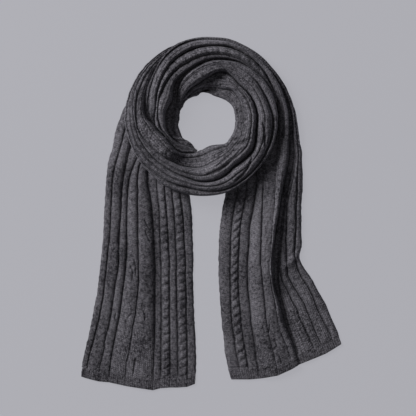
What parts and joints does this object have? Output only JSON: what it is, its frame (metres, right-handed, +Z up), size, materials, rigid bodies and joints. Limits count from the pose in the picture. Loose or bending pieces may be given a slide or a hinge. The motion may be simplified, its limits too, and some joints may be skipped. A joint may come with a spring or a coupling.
{
  "type": "cable-knit scarf, wound in a ring and laid flat",
  "caption": "Long cable-knit wool scarf wound round a neck opening and laid flat, its ribbed ends hanging side by side below the ring",
  "frame": {"origin": "middle of the outline, on the surface the scarf lies on", "axes": "+Z up off the surface, towards a viewer looking down on it; +Y from the hems towards the top of the ring; +X to the viewer's right"},
  "size_m": [0.522, 0.7074, 0.0509],
  "materials": {
    "cable_knit": "matte heathered wool, cable and rib knit",
    "ribbed_border": "matte heathered wool, one by one rib"
  },
  "bodies": {
    "root": {"front_wrap": "cable_knit", "inner_folds": "cable_knit", "outer_turn": "cable_knit", "left_tail": "cable_knit", "right_tail": "cable_knit", "left_hem": "ribbed_border", "right_hem": "ribbed_border"}
  },
  "joints": []
}
